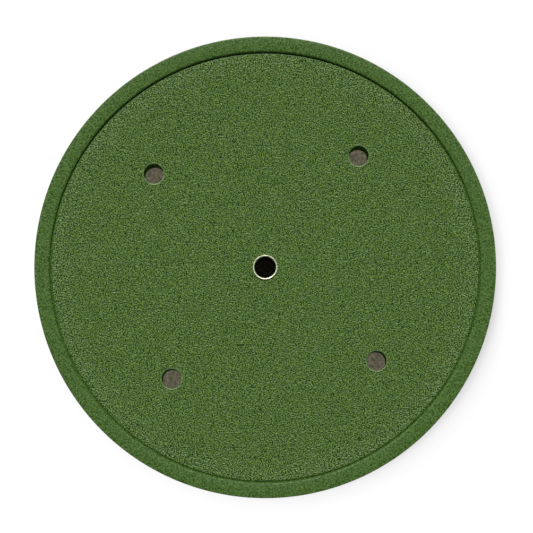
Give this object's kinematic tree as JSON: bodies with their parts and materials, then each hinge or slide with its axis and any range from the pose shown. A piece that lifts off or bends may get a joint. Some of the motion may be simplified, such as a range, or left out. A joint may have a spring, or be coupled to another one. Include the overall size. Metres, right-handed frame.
{
  "type": "tip-up line reel",
  "caption": "Round spool with two rimmed discs joined by a ring of posts, turning on a flanged sleeve with a hand-set spring drag.",
  "frame": {"origin": "centre of the mounting flange's rear face, on the axle line", "axes": "+Z along the axle, from the mounting flange to the front disc; +X is in the disc's plane, 50 degrees clockwise of the first hole as seen from the front"},
  "size_m": [0.1142, 0.1142, 0.0451],
  "materials": {
    "green_moulding": "pebbled moulded polypropylene",
    "black_moulding": "moulded acetal",
    "bush_moulding": "turned acetal",
    "plated_sleeve": "nickel plated",
    "washer_steel": "ground",
    "spring_steel": "oil tempered wire",
    "friction_fibre": "pressed fibre",
    "nut_brass": "turned",
    "insert_nylon": "moulded nylon"
  },
  "bodies": {
    "mount": {"axle_sleeve": "plated_sleeve", "mount_flange": "plated_sleeve", "retaining_clip": "spring_steel", "thrust_washer": "washer_steel", "pressure_washer": "washer_steel", "drag_spring": "spring_steel"},
    "reel": {"front_disc": "green_moulding", "rear_disc": "green_moulding", "hub_tube": "black_moulding", "front_bush": "bush_moulding", "rear_bush": "bush_moulding", "friction_washer": "friction_fibre", "post_01": "black_moulding", "post_02": "black_moulding", "post_03": "black_moulding", "post_04": "black_moulding", "post_05": "black_moulding", "post_06": "black_moulding", "post_07": "black_moulding", "post_08": "black_moulding", "post_09": "black_moulding", "post_10": "black_moulding", "post_11": "black_moulding", "post_12": "black_moulding"},
    "spring_seat": {"spring_seat": "washer_steel"},
    "drag_nut": {"drag_nut": "nut_brass", "nut_insert": "insert_nylon"}
  },
  "joints": [
    {"name": "reel_spin", "type": "hinge", "parent": "mount", "child": "reel", "pos_m": [0, 0, 0], "axis": [0, 0, 1], "continuous": true},
    {"name": "drag_nut_travel", "type": "slide", "parent": "mount", "child": "spring_seat", "axis": [0, 0, 1], "range_m": [0, 0.00125], "deforming": ["drag_spring"]},
    {"name": "drag_nut_turn", "type": "hinge", "parent": "spring_seat", "child": "drag_nut", "pos_m": [0, 0, 0], "axis": [0, 0, 1], "range_deg": [0, 450]}
  ],
  "couplings": [
    {"joint": "drag_nut_travel", "follows": "drag_nut_turn", "m_per_rad": 0.00015915}
  ]
}
